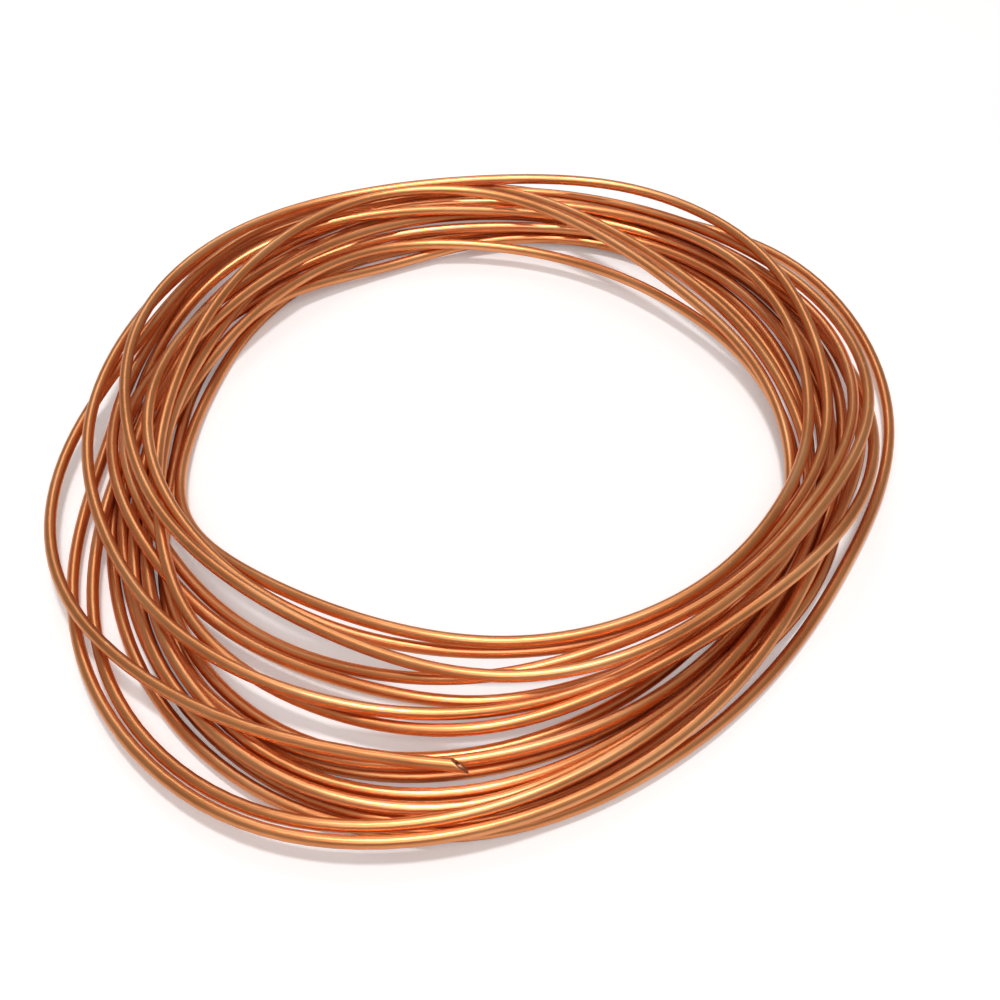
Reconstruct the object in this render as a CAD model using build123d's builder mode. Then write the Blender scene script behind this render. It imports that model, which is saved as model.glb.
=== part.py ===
from build123d import *
import math
import os

import numpy as np

# Soft copper tube, wound by hand into a loose coil that lies flat. Millimetres, +Z up, the
# coil's front towards -Y, the origin on the floor in the middle of the box round the coil.
# The tube is one piece from its hidden end, under the back of the coil, to its free end,
# which lies on top of the other turns at the front.

# Driving dimensions
tube_diameter = 3.175
tube_wall = 0.76
coil_radius = 100       # the reach of each turn below is given in hundredths of it
turn_gap = 0.25         # air left where one turn lies on or beside another
end_stop = 3            # how far the free end stops short of the front
arc_share = 0.2         # share of the shorter run that each bend takes from both of its runs

# Fineness of the winding
lays_per_corner = 6     # places from one corner to the next where the turns are laid clear
lay_passes = 600        # times that the laying is repeated
lay_step = 0.1          # share of a clash that one pass puts right

# How far the tube lies from the middle of the eye, in hundredths of the coil's radius. A row
# is one turn, and its sixteen places go counterclockwise from the front, like the points of a
# compass. The first row is the last half of a turn, and the last row runs on to the front
# again, to the free end.
turn_reach = [
    [99, 100, 96, 89, 86, 86, 80, 77],
    [78, 80, 83, 85, 90, 98, 108, 109, 107, 106, 109, 104, 103, 111, 126, 132],
    [122, 108, 97, 94, 97, 105, 111, 108, 101, 102, 111, 108, 102, 105, 114, 124],
    [124, 113, 105, 104, 114, 125, 131, 123, 128, 128, 122, 112, 110, 106, 105, 101],
    [96, 91, 89, 87, 85, 84, 83, 90, 103, 107, 99, 91, 90, 92, 101, 100],
    [99, 93, 94, 102, 108, 111, 114, 117, 122, 126, 121, 110, 106, 117, 128, 136],
    [127, 112, 101, 96, 105, 111, 115, 119, 123, 120, 115, 106, 101, 95, 91, 88],
    [86, 83, 86, 91, 102, 111, 113, 113, 115, 109, 98, 91, 92, 96, 104, 108],
    [102, 93, 86, 87, 87, 84, 83, 87, 91, 94, 90, 89, 92, 97, 107, 112],
    [106, 99, 91, 89, 90, 93, 99, 104, 97, 90, 91, 92, 91, 96, 107, 112],
    [107, 98, 91, 90, 92, 97, 104, 108, 101, 100, 96, 92, 91, 98, 110, 118],
    [114, 102, 93, 92, 95, 100, 105, 106, 99, 99, 99, 95, 92, 98, 111, 120],
    [118, 104, 99, 98, 99, 104, 110, 110, 103, 97, 92, 92, 94, 101, 112, 121],
    [121, 107, 98, 95, 100, 111, 116, 117, 115, 110, 101, 94, 93, 89, 83, 79],
    [78, 80, 82, 87, 95, 103, 115, 119, 111, 114, 115, 110, 99, 92, 86, 84],
    [88, 90, 90, 94, 106, 112, 115, 117, 119, 118, 116, 106, 102, 97, 93, 90],
    [91, 87, 88, 89, 88, 86, 88, 96, 113, 119, 116, 108, 116, 122, 119, 114, 112],
]

# How high the tube's middle lies above the floor there, in tube diameters
turn_level = [
    [0.5, 0.5, 0.5, 0.5, 1.0, 2.5, 4.0, 4.5],
    [4.5, 4.5, 5.0, 5.0, 4.0, 4.5, 4.0, 3.5, 3.5, 3.5, 2.5, 2.5, 1.5, 1.0, 1.5, 2.0],
    [2.5, 3.0, 2.5, 2.0, 2.0, 1.5, 1.5, 2.5, 4.0, 4.5, 3.0, 1.0, 0.5, 0.5, 0.5, 1.0],
    [1.0, 1.0, 0.5, 0.5, 1.0, 1.0, 1.0, 1.0, 1.0, 1.5, 2.5, 3.5, 3.5, 3.5, 4.0, 3.5],
    [3.0, 3.0, 3.5, 2.5, 2.5, 3.5, 4.5, 5.5, 6.0, 6.0, 5.5, 5.0, 3.5, 4.0, 3.5, 2.5],
    [3.0, 3.5, 4.5, 5.0, 3.5, 2.5, 2.0, 1.5, 1.5, 1.0, 1.0, 1.0, 1.0, 1.0, 1.5, 2.0],
    [2.0, 2.0, 2.5, 2.0, 1.5, 1.5, 1.5, 0.5, 0.5, 1.0, 0.5, 1.0, 3.0, 3.0, 2.0, 2.5],
    [3.5, 4.0, 4.5, 5.0, 4.5, 3.5, 3.0, 3.0, 2.5, 2.5, 3.0, 3.5, 2.5, 1.5, 1.5, 1.0],
    [1.0, 1.5, 1.5, 1.5, 1.5, 2.5, 2.5, 2.0, 2.0, 2.5, 3.0, 2.5, 1.0, 1.0, 1.5, 1.5],
    [2.0, 2.0, 2.0, 2.0, 1.5, 1.5, 1.5, 1.0, 1.5, 0.5, 2.0, 1.0, 0.5, 0.5, 0.5, 0.5],
    [1.0, 0.5, 0.5, 1.0, 0.5, 1.0, 1.0, 0.5, 1.5, 1.5, 2.0, 2.5, 2.0, 1.5, 2.5, 1.5],
    [1.5, 1.5, 1.0, 0.5, 1.0, 1.5, 2.0, 2.0, 3.0, 2.5, 1.5, 1.5, 2.0, 1.0, 2.0, 2.0],
    [1.5, 2.0, 1.5, 0.5, 0.5, 1.0, 1.0, 1.5, 2.5, 3.5, 4.5, 4.0, 2.0, 1.0, 1.0, 0.5],
    [1.0, 0.5, 0.5, 1.0, 1.5, 0.5, 0.5, 0.5, 1.0, 2.5, 3.5, 4.5, 5.0, 4.5, 4.0, 3.5],
    [3.5, 3.5, 3.5, 4.5, 4.0, 5.0, 5.0, 5.0, 5.5, 5.0, 5.5, 5.5, 5.5, 5.0, 5.0, 4.5],
    [4.5, 5.0, 5.5, 5.5, 5.5, 4.5, 3.5, 3.0, 2.5, 2.0, 2.0, 2.0, 3.0, 4.0, 2.5, 2.5],
    [2.5, 2.0, 2.5, 3.5, 3.0, 4.0, 4.5, 5.0, 4.5, 3.5, 3.5, 3.0, 2.0, 2.5, 3.0, 3.5, 4.0],
]
corners_per_turn = len(turn_reach[1])

# Reach and height of each place
lowest = tube_diameter / 2
wanted_reach = np.concatenate(turn_reach) / 100 * coil_radius
wanted_height = np.concatenate(turn_level) * tube_diameter
spots = np.stack([wanted_reach, wanted_height], 1)

# The share that each corner has in the places that the tube passes: straight runs, and near
# each corner a bend that passes inside it. The corners are set so that this path goes through
# the wanted places.
place = np.arange((len(spots) - 1) * lays_per_corner + 1) / lays_per_corner
away = abs(place[:, None] - np.arange(len(spots)))
in_bend = 1 - (arc_share**2 + away**2) / (2 * arc_share)
in_next_bend = (1 + arc_share - away)**2 / (4 * arc_share)
share = np.select([away < arc_share, away < 1 - arc_share, away < 1 + arc_share],
                  [in_bend, 1 - away, in_next_bend])
share /= share.sum(axis=1, keepdims=True)
share[[0, -1]] = np.eye(len(spots))[[0, -1]]
spots = np.linalg.solve(share[::lays_per_corner], spots)

# Laying: where two turns pass too close in one upright slice through the coil, both give way
lays_per_turn = corners_per_turn * lays_per_corner
first_slice = (corners_per_turn - len(turn_reach[0])) * lays_per_corner
slices = np.arange(len(place)) + first_slice
turns = slices[-1] // lays_per_turn + 1
spacing = tube_diameter + turn_gap
for lay in range(lay_passes):
    grid = np.full((turns * lays_per_turn, 2), np.nan)
    grid[slices] = share @ spots
    grid = grid.reshape(turns, lays_per_turn, 2).swapaxes(0, 1)
    apart = grid[:, :, None] - grid[:, None]
    distance = np.linalg.norm(apart, axis=3)
    distance[distance == 0] = np.inf    # a turn gives way to no turn in its own place
    short = np.clip(spacing - distance, 0, None)
    push = np.nansum(apart / distance[..., None] * short[..., None], axis=2)
    spots += lay_step * share.T @ push.swapaxes(0, 1).reshape(-1, 2)[slices]
    spots[:, 1] = np.maximum(spots[:, 1], lowest)

# The corners stand a little outside the turn, so that the tube's runs and bends lie as much
# inside it as outside it
turn_step = 2 * math.pi / corners_per_turn
angle = turn_step * (np.arange(len(spots)) + first_slice / lays_per_corner)
reach_in_bend = 1 - arc_share / 2 * (1 - math.cos(turn_step))
reach_in_run = math.cos(turn_step / 2)
outset = 2 / (reach_in_bend + reach_in_run)
corners = [
    Vector(outset * reach * math.sin(turned), -outset * reach * math.cos(turned), height)
    for (reach, height), turned in zip(spots, angle)
]
corners[-1] += (corners[-2] - corners[-1]).normalized() * end_stop

# Bends as large as the shorter of their two runs allows
bend_radii = []
for before, corner, after in zip(corners, corners[1:], corners[2:]):
    half_turn = math.radians((corner - before).get_angle(after - corner)) / 2
    run = min((corner - before).length, (after - corner).length)
    bend_radii.append(arc_share * run / math.tan(half_turn))

with BuildLine() as winding:
    FilletPolyline(*corners, radius=bend_radii)
winding_box = winding.line.bounding_box()
middle = winding_box.center()
to_origin = Location((-middle.X, -middle.Y, lowest - winding_box.min.Z))
tube_path = winding.wire().moved(to_origin)

with BuildPart() as copper_tube:
    with BuildSketch(Plane(tube_path @ 0, z_dir=tube_path % 0)) as tube_section:
        Circle(tube_diameter / 2)
        Circle(tube_diameter / 2 - tube_wall, mode=Mode.SUBTRACT)
    sweep(path=tube_path)
copper_tube.part.label = "copper_tube"

os.makedirs("parts", exist_ok=True)
export_step(copper_tube.part, "parts/copper_tube.step")

# What was made
end_straight = (corners[-1] - corners[-2]).length - bend_radii[-1] * math.tan(half_turn)
print("bend radii", [round(radius) for radius in bend_radii])
print("bend radii from", round(min(bend_radii), 1), "to", round(max(bend_radii), 1))
print("tube length", round(tube_path.length, 1), "turns", round((angle[-1] - angle[0]) / (2 * math.pi), 3))
print("volume", copper_tube.part.volume, "section times length", tube_section.sketch.area * tube_path.length)
print("free end at", tube_path @ 1, "pointing", tube_path % 1, "straight for", round(end_straight, 2))
print("hidden end at", tube_path @ 0, "pointing", -(tube_path % 0))
print("box", copper_tube.part.bounding_box())
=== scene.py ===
import math

import bpy
import numpy as np
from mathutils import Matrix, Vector


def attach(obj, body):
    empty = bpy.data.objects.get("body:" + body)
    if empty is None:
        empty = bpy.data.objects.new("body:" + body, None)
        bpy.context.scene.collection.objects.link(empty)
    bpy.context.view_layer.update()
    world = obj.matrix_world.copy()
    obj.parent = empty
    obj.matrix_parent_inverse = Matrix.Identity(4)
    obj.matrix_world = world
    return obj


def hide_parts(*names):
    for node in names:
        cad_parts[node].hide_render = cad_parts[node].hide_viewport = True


# Loose coil of soft copper tube. Metres, +Z up, the coil's front towards -Y.
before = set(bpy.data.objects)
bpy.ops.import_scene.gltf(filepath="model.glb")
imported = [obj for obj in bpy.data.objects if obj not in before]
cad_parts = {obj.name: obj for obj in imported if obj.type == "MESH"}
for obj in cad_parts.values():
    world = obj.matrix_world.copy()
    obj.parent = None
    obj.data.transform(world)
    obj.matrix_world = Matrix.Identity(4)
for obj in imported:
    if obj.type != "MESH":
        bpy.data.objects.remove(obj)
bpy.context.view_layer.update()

# The tube and the way it is wound
TUBE_DIAMETER = 0.003175
TUBE_WALL = 0.00076
COIL_RADIUS = 0.1           # the reach of each turn below is given in hundredths of it
TURN_GAP = 0.00045          # air left where one turn lies on or beside another
END_STOP = 0.003            # how far the free end stops short of the front
EYE = (0.00019, -0.00004)   # the middle of the coil's eye, from the middle of the coil's box

# Fineness of the winding
LAYS_PER_CORNER = 6         # places from one corner to the next where the turns are laid clear
LAY_PASSES = 600            # times that the laying is repeated
LAY_STEP = 0.1              # share of a clash that one pass puts right

# How far the tube lies from the middle of the eye, in hundredths of the coil's radius. A row
# is one turn, and its sixteen places go counterclockwise from the front, like the points of a
# compass. The first row is the last half of a turn, and the last row runs on to the front
# again, to the free end.
TURN_REACH = [
    [99, 100, 96, 89, 86, 86, 80, 77],
    [78, 80, 83, 85, 90, 98, 108, 109, 107, 106, 109, 104, 103, 111, 126, 132],
    [122, 108, 97, 94, 97, 105, 111, 108, 101, 102, 111, 108, 102, 105, 114, 124],
    [124, 113, 105, 104, 114, 124, 131, 123, 128, 128, 122, 112, 110, 106, 105, 101],
    [96, 91, 89, 87, 85, 84, 83, 90, 103, 107, 99, 91, 90, 92, 101, 100],
    [99, 93, 94, 102, 108, 111, 114, 117, 122, 126, 121, 110, 106, 117, 128, 134],
    [125, 112, 101, 96, 105, 111, 115, 119, 123, 120, 115, 106, 101, 95, 91, 88],
    [86, 83, 86, 91, 102, 111, 113, 113, 115, 109, 98, 91, 92, 96, 104, 108],
    [102, 93, 86, 87, 87, 84, 83, 87, 91, 94, 90, 89, 92, 97, 107, 112],
    [106, 99, 91, 89, 90, 93, 99, 104, 97, 90, 91, 92, 91, 96, 107, 112],
    [107, 98, 91, 90, 92, 97, 104, 108, 101, 100, 96, 92, 91, 98, 110, 118],
    [114, 102, 93, 92, 95, 100, 105, 106, 99, 99, 99, 95, 92, 98, 111, 120],
    [118, 104, 99, 98, 99, 104, 110, 110, 103, 97, 92, 92, 94, 101, 112, 121],
    [121, 107, 98, 95, 100, 111, 116, 117, 115, 110, 101, 94, 93, 89, 83, 79],
    [78, 80, 82, 87, 95, 103, 115, 119, 111, 114, 115, 110, 99, 92, 86, 84],
    [88, 90, 90, 94, 106, 112, 115, 117, 119, 118, 116, 106, 102, 97, 93, 90],
    [91, 87, 88, 89, 88, 86, 88, 96, 113, 119, 116, 108, 116, 121, 119, 114, 110],
]

# How high the tube's middle lies above the floor there, in tube diameters
TURN_LEVEL = [
    [0.5, 0.5, 0.5, 0.5, 1.0, 2.5, 4.0, 4.5],
    [4.5, 4.5, 5.0, 5.0, 4.0, 4.5, 4.0, 3.5, 3.5, 3.5, 2.5, 2.5, 1.5, 1.0, 1.5, 2.0],
    [2.5, 3.0, 2.5, 2.0, 2.0, 1.5, 1.5, 2.5, 4.0, 4.5, 3.0, 1.0, 0.5, 0.5, 0.5, 1.0],
    [1.0, 1.0, 0.5, 0.5, 1.0, 1.0, 1.0, 1.0, 1.0, 1.5, 2.5, 3.5, 3.5, 3.5, 4.0, 3.5],
    [3.0, 3.0, 3.5, 2.5, 2.5, 3.5, 4.5, 5.5, 5.9, 5.9, 5.5, 5.0, 3.5, 4.0, 3.5, 2.5],
    [3.0, 3.5, 4.5, 5.0, 3.5, 2.5, 2.0, 1.5, 1.5, 1.0, 1.0, 1.0, 1.0, 1.0, 1.5, 2.0],
    [2.0, 2.0, 2.5, 2.0, 1.5, 1.5, 1.5, 0.5, 0.5, 1.0, 0.5, 1.0, 3.0, 3.0, 2.0, 2.5],
    [3.5, 4.0, 4.5, 5.0, 4.5, 3.5, 3.0, 3.0, 2.5, 2.5, 3.0, 3.5, 2.5, 1.5, 1.5, 1.0],
    [1.0, 1.5, 1.5, 1.5, 1.5, 2.5, 2.5, 2.0, 2.0, 2.5, 3.0, 2.5, 1.0, 1.0, 1.5, 1.5],
    [2.0, 2.0, 2.0, 2.0, 1.5, 1.5, 1.5, 1.0, 1.5, 0.5, 2.0, 1.0, 0.5, 0.5, 0.5, 0.5],
    [1.0, 0.5, 0.5, 1.0, 0.5, 1.0, 1.0, 0.5, 1.5, 1.5, 2.0, 2.5, 2.0, 1.5, 2.5, 1.5],
    [1.5, 1.5, 1.0, 0.5, 1.0, 1.5, 2.0, 2.0, 3.0, 2.5, 1.5, 1.5, 2.0, 1.0, 2.0, 2.0],
    [1.5, 2.0, 1.5, 0.5, 0.5, 1.0, 1.0, 1.5, 2.5, 3.5, 4.5, 4.0, 2.0, 1.0, 1.0, 0.5],
    [1.0, 0.5, 0.5, 1.0, 1.5, 0.5, 0.5, 0.5, 1.0, 2.5, 3.5, 4.5, 5.0, 4.5, 4.0, 3.5],
    [3.5, 3.5, 3.5, 4.5, 4.0, 5.0, 5.0, 5.0, 5.5, 5.0, 5.5, 5.5, 5.5, 5.0, 5.0, 4.5],
    [4.5, 5.0, 5.5, 5.5, 5.5, 4.5, 3.5, 3.0, 2.5, 2.0, 2.0, 2.0, 3.0, 4.0, 2.5, 2.5],
    [2.5, 2.0, 2.5, 3.5, 3.0, 4.0, 4.5, 5.0, 4.5, 3.5, 3.5, 3.0, 2.0, 2.5, 3.0, 3.5, 4.0],
]
CORNERS_PER_TURN = len(TURN_REACH[1])
FIRST_CORNER = CORNERS_PER_TURN - len(TURN_REACH[0])    # the first corner's place in its turn


def corner_shares(corner_count):
    """The share that each corner has in each place of the line, which is a cubic spline."""
    place = np.arange((corner_count - 1) * LAYS_PER_CORNER + 1) / LAYS_PER_CORNER
    away = abs(place[:, None] - np.arange(corner_count))
    share = np.select([away < 1, away < 2], [2 / 3 - away**2 + away**3 / 2, (2 - away)**3 / 6])
    share /= share.sum(axis=1, keepdims=True)
    share[[0, -1]] = np.eye(corner_count)[[0, -1]]
    return share


def lay_clear(spots, share):
    """Move the corners until no two turns lie in each other."""
    lays_per_turn = CORNERS_PER_TURN * LAYS_PER_CORNER
    slices = np.arange(len(share)) + FIRST_CORNER * LAYS_PER_CORNER
    turns = slices[-1] // lays_per_turn + 1
    # Where two turns pass too close in one upright slice through the coil, both give way
    for lay in range(LAY_PASSES):
        grid = np.full((turns * lays_per_turn, 2), np.nan)
        grid[slices] = share @ spots
        grid = grid.reshape(turns, lays_per_turn, 2).swapaxes(0, 1)
        apart = grid[:, :, None] - grid[:, None]
        distance = np.linalg.norm(apart, axis=3)
        distance[distance == 0] = np.inf    # a turn gives way to no turn in its own place
        short = np.clip(TUBE_DIAMETER + TURN_GAP - distance, 0, None)
        push = np.nansum(apart / distance[..., None] * short[..., None], axis=2)
        spots += LAY_STEP * share.T @ push.swapaxes(0, 1).reshape(-1, 2)[slices]
        spots[:, 1] = np.maximum(spots[:, 1], TUBE_DIAMETER / 2)


def laid_corners():
    """The corners that the tube's line winds round."""
    reach = np.concatenate(TURN_REACH) / 100 * COIL_RADIUS
    height = np.concatenate(TURN_LEVEL) * TUBE_DIAMETER
    spots = np.stack([reach, height], 1)
    share = corner_shares(len(spots))
    # The line passes inside its corners, so they move out by about as much as it would miss them
    spots += spots - share[::LAYS_PER_CORNER] @ spots
    lay_clear(spots, share)
    # Round a ring of corners it also runs inside the ring, so the corners stand out by as much
    turn_step = 2 * math.pi / CORNERS_PER_TURN
    outset = 3 / (2 + math.cos(turn_step))
    turned = turn_step * (np.arange(len(spots)) + FIRST_CORNER)
    across = EYE[0] + outset * spots[:, 0] * np.sin(turned)
    deep = EYE[1] - outset * spots[:, 0] * np.cos(turned)
    corners = np.stack([across, deep, spots[:, 1]], 1)
    back = corners[-2] - corners[-1]
    corners[-1] += END_STOP * back / np.linalg.norm(back)
    return corners


# Camera, set like the photograph's: from the front, 46 degrees above the table
CAMERA_AT = (0.00419, -0.314747, 0.309316)
CAMERA_TILT = math.radians(44)      # from straight down
LENS_MM = 55.98
SENSOR_MM = 36.0
camera_data = bpy.data.cameras.new("camera")
camera_data.lens = LENS_MM
camera_data.sensor_width = SENSOR_MM
camera = bpy.data.objects.new("camera", camera_data)
camera.location = CAMERA_AT
camera.rotation_euler = (CAMERA_TILT, 0, 0)
bpy.context.scene.collection.objects.link(camera)
bpy.context.scene.camera = camera

# The tube's centre line: one spline round the laid corners
POINTS_PER_CORNER = 9
SPLINE_ORDER = 4            # cubic, as the shares of the corners are
line_data = bpy.data.curves.new("centre_line", "CURVE")
line_data.dimensions = "3D"
line_data.resolution_u = POINTS_PER_CORNER
spline = line_data.splines.new("NURBS")
corners = laid_corners()
spline.points.add(len(corners) - 1)
for point, corner in zip(spline.points, corners):
    point.co = (*corner, 1.0)
spline.order_u = SPLINE_ORDER
spline.use_endpoint_u = True
line = bpy.data.objects.new("centre_line", line_data)
bpy.context.scene.collection.objects.link(line)
bpy.context.view_layer.update()
line_mesh = bpy.data.meshes.new_from_object(line)
centres = np.array([vertex.co for vertex in line_mesh.vertices])
bpy.data.objects.remove(line)
bpy.data.meshes.remove(line_mesh)

# Rings along the tube, close together near its two ends, where the slanting cut needs them
END_LENGTH = 0.016
END_RING_STEP = 0.0008
run = np.concatenate([[0], np.cumsum(np.linalg.norm(np.diff(centres, axis=0), axis=1))])
length = run[-1]
ring_at = np.concatenate([
    np.arange(0, END_LENGTH, END_RING_STEP),
    run[(run > END_LENGTH) & (run < length - END_LENGTH)],
    np.arange(length, length - END_LENGTH, -END_RING_STEP)[::-1],
])
rings = np.stack([np.interp(ring_at, run, centres[:, axis]) for axis in range(3)], 1)
ahead = np.gradient(rings, axis=0)
ahead /= np.linalg.norm(ahead, axis=1, keepdims=True)
side = np.cross(ahead, (0, 0, 1))
side /= np.linalg.norm(side, axis=1, keepdims=True)
lift = np.cross(side, ahead)

# The free end is cut slantwise, so that its point is at the front and the bottom
SIDES = 24
CUT_LENGTH = 0.0042         # from the point to the heel of the slanting cut
CUT_TURN = math.radians(125)        # the heel's place round the tube, from its outer side upwards
RIM_ROUND = 0.00008         # rounding of the cut wall's edges
BORE_RING_EVERY = 3         # the bore has one ring where the outside has three
around = 2 * math.pi * np.arange(SIDES) / SIDES
outer_radius = TUBE_DIAMETER / 2
bore_radius = outer_radius - TUBE_WALL
last = len(ring_at) - 1


def ring_points(station, radius, push):
    """One ring of points at a station of the tube, cut back where the free end slants."""
    near_end = np.clip((ring_at[station] - length + END_LENGTH) / END_LENGTH, 0, 1)
    slant = (outer_radius + radius * np.cos(around - CUT_TURN)) / TUBE_DIAMETER
    cut = CUT_LENGTH * near_end**2 * slant
    return (
        rings[station]
        + radius * np.cos(around)[:, None] * side[station]
        + radius * np.sin(around)[:, None] * lift[station]
        + (push - cut)[:, None] * ahead[station]
    )


def unrolled(station, radius):
    """The same ring on the straight tube, for patterns that follow the tube."""
    return np.stack([
        radius * np.cos(around),
        radius * np.sin(around),
        np.full(SIDES, ring_at[station]),
    ], 1)


def edge_push(station):
    """How far the rounding of an end's edges moves a ring along the tube."""
    return {0: RIM_ROUND, last: -RIM_ROUND}.get(station, 0.0)


# The tube's skin as one stack of rings: along the outside, over the free end's rim, back
# along the bore and over the hidden end's rim
bore_stations = [*range(0, last, BORE_RING_EVERY), last]
stack = [(station, outer_radius, edge_push(station)) for station in range(last + 1)]
stack += [(last, outer_radius - RIM_ROUND, 0.0), (last, bore_radius + RIM_ROUND, 0.0)]
stack += [(station, bore_radius, edge_push(station)) for station in reversed(bore_stations)]
stack += [(0, bore_radius + RIM_ROUND, 0.0), (0, outer_radius - RIM_ROUND, 0.0)]

points = np.concatenate([ring_points(*ring) for ring in stack])
pattern = np.concatenate([unrolled(station, radius) for station, radius, push in stack])
faces = []
for ring in range(len(stack)):
    here = ring * SIDES
    there = (ring + 1) % len(stack) * SIDES
    for side_a in range(SIDES):
        side_b = (side_a + 1) % SIDES
        faces.append((here + side_a, there + side_a, there + side_b, here + side_b))

SHARP_FROM = math.radians(50)       # edges that turn more than this stay sharp
tube_mesh = bpy.data.meshes.new("tube")
tube_mesh.from_pydata(points.tolist(), [], faces)
wound = tube_mesh.attributes.new("wound", "FLOAT_VECTOR", "POINT")
wound.data.foreach_set("vector", pattern.astype(np.float32).ravel())
tube = bpy.data.objects.new("tube", tube_mesh)
bpy.context.scene.collection.objects.link(tube)
bpy.ops.object.select_all(action="DESELECT")
tube.select_set(True)
bpy.context.view_layer.objects.active = tube
bpy.ops.object.mode_set(mode="EDIT")
bpy.ops.mesh.select_all(action="SELECT")
bpy.ops.mesh.normals_make_consistent(inside=False)
bpy.ops.object.mode_set(mode="OBJECT")
bpy.ops.object.shade_smooth_by_angle(angle=SHARP_FROM)


# Shader helpers
def link(tree, source, target):
    tree.links.new(source, target)


def add_node(tree, kind, **values):
    """A node with its inputs set by name."""
    node = tree.nodes.new(kind)
    for name, value in values.items():
        node.inputs[name.replace("_", " ")].default_value = value
    return node


def ramp(tree, source, stops):
    """A colour ramp fed by source."""
    node = tree.nodes.new("ShaderNodeValToRGB")
    marks = node.color_ramp.elements
    while len(marks) < len(stops):
        marks.new(0.5)
    for mark, (place, colour) in zip(marks, stops):
        mark.position = place
        mark.color = colour
    link(tree, source, node.inputs["Fac"])
    return node.outputs["Color"]


def grey(value):
    return (value, value, value, 1.0)


def stretched_noise(tree, source, scale, detail, roughness):
    """Noise stretched by the scale, which is across, across and along the tube, per metre."""
    stretch = add_node(tree, "ShaderNodeMapping", Scale=scale)
    link(tree, source, stretch.inputs["Vector"])
    noise = add_node(tree, "ShaderNodeTexNoise", Scale=1.0, Detail=detail, Roughness=roughness)
    link(tree, stretch.outputs["Vector"], noise.inputs["Vector"])
    return noise.outputs["Fac"]


PATCH_SCALE = (120.0, 120.0, 22.0)
PATCH_FROM = 0.35           # the noise levels where patches start and are at their full tone
PATCH_TO = 0.65
LINE_SCALE = (4200.0, 4200.0, 45.0)
SCUFF_SCALE = (900.0, 900.0, 260.0)
SCUFF_FROM = 0.62           # the noise levels where scuffs start and are at their full tone
SCUFF_TO = 0.7


def drawn_tube_wear():
    """Patches, drawing lines and scuffs on drawn metal tube, from its unrolled coordinates."""
    group = bpy.data.node_groups.new("drawn tube wear", "ShaderNodeTree")
    group.interface.new_socket("Unrolled", in_out="INPUT", socket_type="NodeSocketVector")
    for name in ("Patches", "Lines", "Scuffs"):
        group.interface.new_socket(name, in_out="OUTPUT", socket_type="NodeSocketFloat")
    source = group.nodes.new("NodeGroupInput").outputs["Unrolled"]
    target = group.nodes.new("NodeGroupOutput")
    patches = stretched_noise(group, source, PATCH_SCALE, detail=4.0, roughness=0.6)
    patches = ramp(group, patches, [(PATCH_FROM, grey(0)), (PATCH_TO, grey(1))])
    link(group, patches, target.inputs["Patches"])
    lines = stretched_noise(group, source, LINE_SCALE, detail=3.0, roughness=0.65)
    link(group, lines, target.inputs["Lines"])
    scuffs = stretched_noise(group, source, SCUFF_SCALE, detail=5.0, roughness=0.7)
    scuffs = ramp(group, scuffs, [(SCUFF_FROM, grey(0)), (SCUFF_TO, grey(1))])
    link(group, scuffs, target.inputs["Scuffs"])
    return group


# The colour mix node's sockets by number, because their names repeat
MIX_FACTOR = 0
MIX_UNDER = 6
MIX_OVER = 7
MIX_RESULT = 2
BUMP_STRENGTH = 0.25
BUMP_DEPTH = 0.00002
wear = drawn_tube_wear()


def copper(name, dark, middle, bright, roughness):
    """Soft copper with its patches, drawing lines and scuffs."""
    material = bpy.data.materials.new(name)
    material.use_nodes = True
    tree = material.node_tree
    tree.nodes.clear()
    output = tree.nodes.new("ShaderNodeOutputMaterial")
    shader = tree.nodes.new("ShaderNodeBsdfPrincipled")
    link(tree, shader.outputs["BSDF"], output.inputs["Surface"])
    shader.inputs["Metallic"].default_value = 1.0
    place = tree.nodes.new("ShaderNodeAttribute")
    place.attribute_name = "wound"
    worn = tree.nodes.new("ShaderNodeGroup")
    worn.node_tree = wear
    link(tree, place.outputs["Vector"], worn.inputs["Unrolled"])
    tone = ramp(tree, worn.outputs["Patches"], [(0.0, dark), (0.5, middle), (1.0, bright)])
    scuffed = add_node(tree, "ShaderNodeMix")
    scuffed.data_type = "RGBA"
    scuffed.inputs[MIX_OVER].default_value = bright
    link(tree, worn.outputs["Scuffs"], scuffed.inputs[MIX_FACTOR])
    link(tree, tone, scuffed.inputs[MIX_UNDER])
    link(tree, scuffed.outputs[MIX_RESULT], shader.inputs["Base Color"])
    low, high = roughness
    rough = add_node(tree, "ShaderNodeMapRange", To_Min=low, To_Max=high)
    link(tree, worn.outputs["Lines"], rough.inputs["Value"])
    link(tree, rough.outputs["Result"], shader.inputs["Roughness"])
    bump = add_node(tree, "ShaderNodeBump", Strength=BUMP_STRENGTH, Distance=BUMP_DEPTH)
    link(tree, worn.outputs["Lines"], bump.inputs["Height"])
    link(tree, bump.outputs["Normal"], shader.inputs["Normal"])
    return material


skin = copper(
    "drawn copper",
    dark=(0.72, 0.26, 0.095, 1),
    middle=(0.86, 0.34, 0.13, 1),
    bright=(0.97, 0.45, 0.2, 1),
    roughness=(0.28, 0.42),
)
# A darker copy of the copper for the rims and the bore: painted shade for the shade inside the
# bore and on the slanting cut
shaded_cut_copper = copper(
    "cut copper in painted shade",
    dark=(0.3, 0.11, 0.05, 1),
    middle=(0.5, 0.21, 0.11, 1),
    bright=(0.75, 0.38, 0.22, 1),
    roughness=(0.4, 0.6),
)

# The outside's faces come first, and the rims and the bore follow, in the darker copper that is
# painted shade
tube_mesh.materials.append(skin)
tube_mesh.materials.append(shaded_cut_copper)
outside_faces = last * SIDES
for index, face in enumerate(tube_mesh.polygons):
    face.material_index = 0 if index < outside_faces else 1

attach(tube, "root")
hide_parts("copper_tube")

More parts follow.
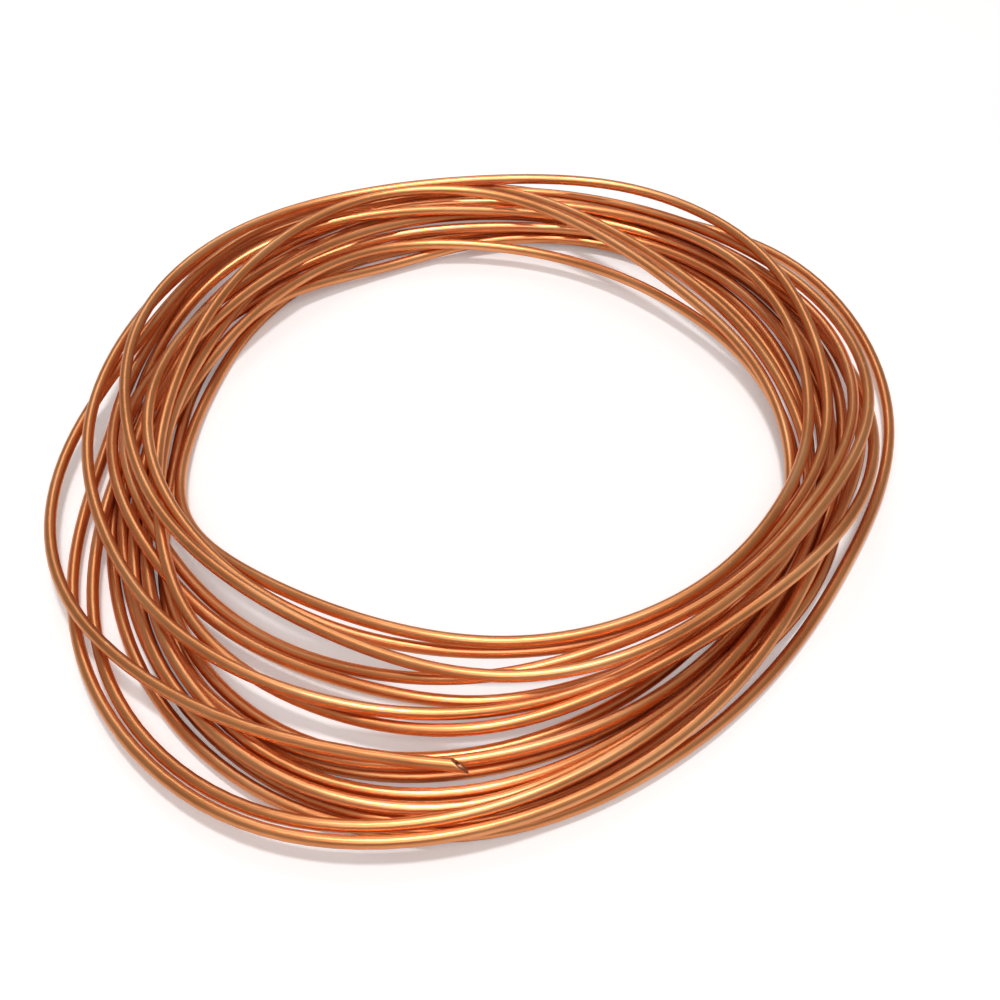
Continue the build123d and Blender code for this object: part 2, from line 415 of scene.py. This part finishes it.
# Pale table, which the camera sees as white with the coil's shadow on it
FLOOR_SIZE = 6.0
FLOOR_COLOUR = (0.93, 0.92, 0.915, 1)
FLOOR_ROUGHNESS = 0.6
FLOOR_LIFT = 0.22           # added to the table's brightness where the camera sees it
LIFT_FROM = 0.4             # past here the lift grows, as the table lies further from the lamps
LIFT_TO = 1.6               # from here on the lift is 1
WHITE = (1, 1, 1, 1)
bpy.ops.object.select_all(action="DESELECT")
bpy.ops.mesh.primitive_plane_add(size=FLOOR_SIZE, location=(0, 0, 0))
floor = bpy.context.active_object
floor.name = "table"
floor_material = bpy.data.materials.new("white table")
floor_material.use_nodes = True
floor_tree = floor_material.node_tree
floor_shader = floor_tree.nodes["Principled BSDF"]
floor_shader.inputs["Base Color"].default_value = FLOOR_COLOUR
floor_shader.inputs["Roughness"].default_value = FLOOR_ROUGHNESS
floor_shader.inputs["Emission Color"].default_value = WHITE
floor_ray = floor_tree.nodes.new("ShaderNodeLightPath")
floor_place = floor_tree.nodes.new("ShaderNodeTexCoord")
floor_reach = floor_tree.nodes.new("ShaderNodeVectorMath")
floor_reach.operation = "LENGTH"
link(floor_tree, floor_place.outputs["Object"], floor_reach.inputs[0])
floor_lift = add_node(
    floor_tree,
    "ShaderNodeMapRange",
    From_Min=LIFT_FROM,
    From_Max=LIFT_TO,
    To_Min=FLOOR_LIFT,
)
link(floor_tree, floor_reach.outputs["Value"], floor_lift.inputs["Value"])
floor_seen = floor_tree.nodes.new("ShaderNodeMath")
floor_seen.operation = "MULTIPLY"
link(floor_tree, floor_lift.outputs["Result"], floor_seen.inputs[0])
link(floor_tree, floor_ray.outputs["Is Camera Ray"], floor_seen.inputs[1])
link(floor_tree, floor_seen.outputs["Value"], floor_shader.inputs["Emission Strength"])
floor.data.materials.append(floor_material)

# Plain studio light: a soft room, a lamp overhead, and wide ones towards the front and back
ROOM_LIGHT = 0.28           # for the objects; the camera sees the room at 1, as white
world = bpy.data.worlds.new("studio")
world.use_nodes = True
room_tree = world.node_tree
room = room_tree.nodes["Background"]
room.inputs["Color"].default_value = WHITE
room_ray = room_tree.nodes.new("ShaderNodeLightPath")
room_level = add_node(room_tree, "ShaderNodeMapRange", To_Min=ROOM_LIGHT)
link(room_tree, room_ray.outputs["Is Camera Ray"], room_level.inputs["Value"])
link(room_tree, room_level.outputs["Result"], room.inputs["Strength"])
bpy.context.scene.world = world


def softbox(name, place, size, power):
    """A square lamp that faces the origin."""
    data = bpy.data.lights.new(name, "AREA")
    data.shape = "SQUARE"
    data.size = size
    data.energy = power
    lamp = bpy.data.objects.new(name, data)
    lamp.location = place
    lamp.rotation_euler = (-Vector(place)).to_track_quat("-Z", "Y").to_euler()
    bpy.context.scene.collection.objects.link(lamp)


softbox("overhead", place=(0.0, -0.08, 2.2), size=0.3, power=20.5)
softbox("front", place=(0.0, -1.4, 2.0), size=1.0, power=11.0)
softbox("back", place=(-0.3, 1.6, 1.9), size=0.9, power=5.0)

bpy.context.scene.view_settings.view_transform = "Standard"
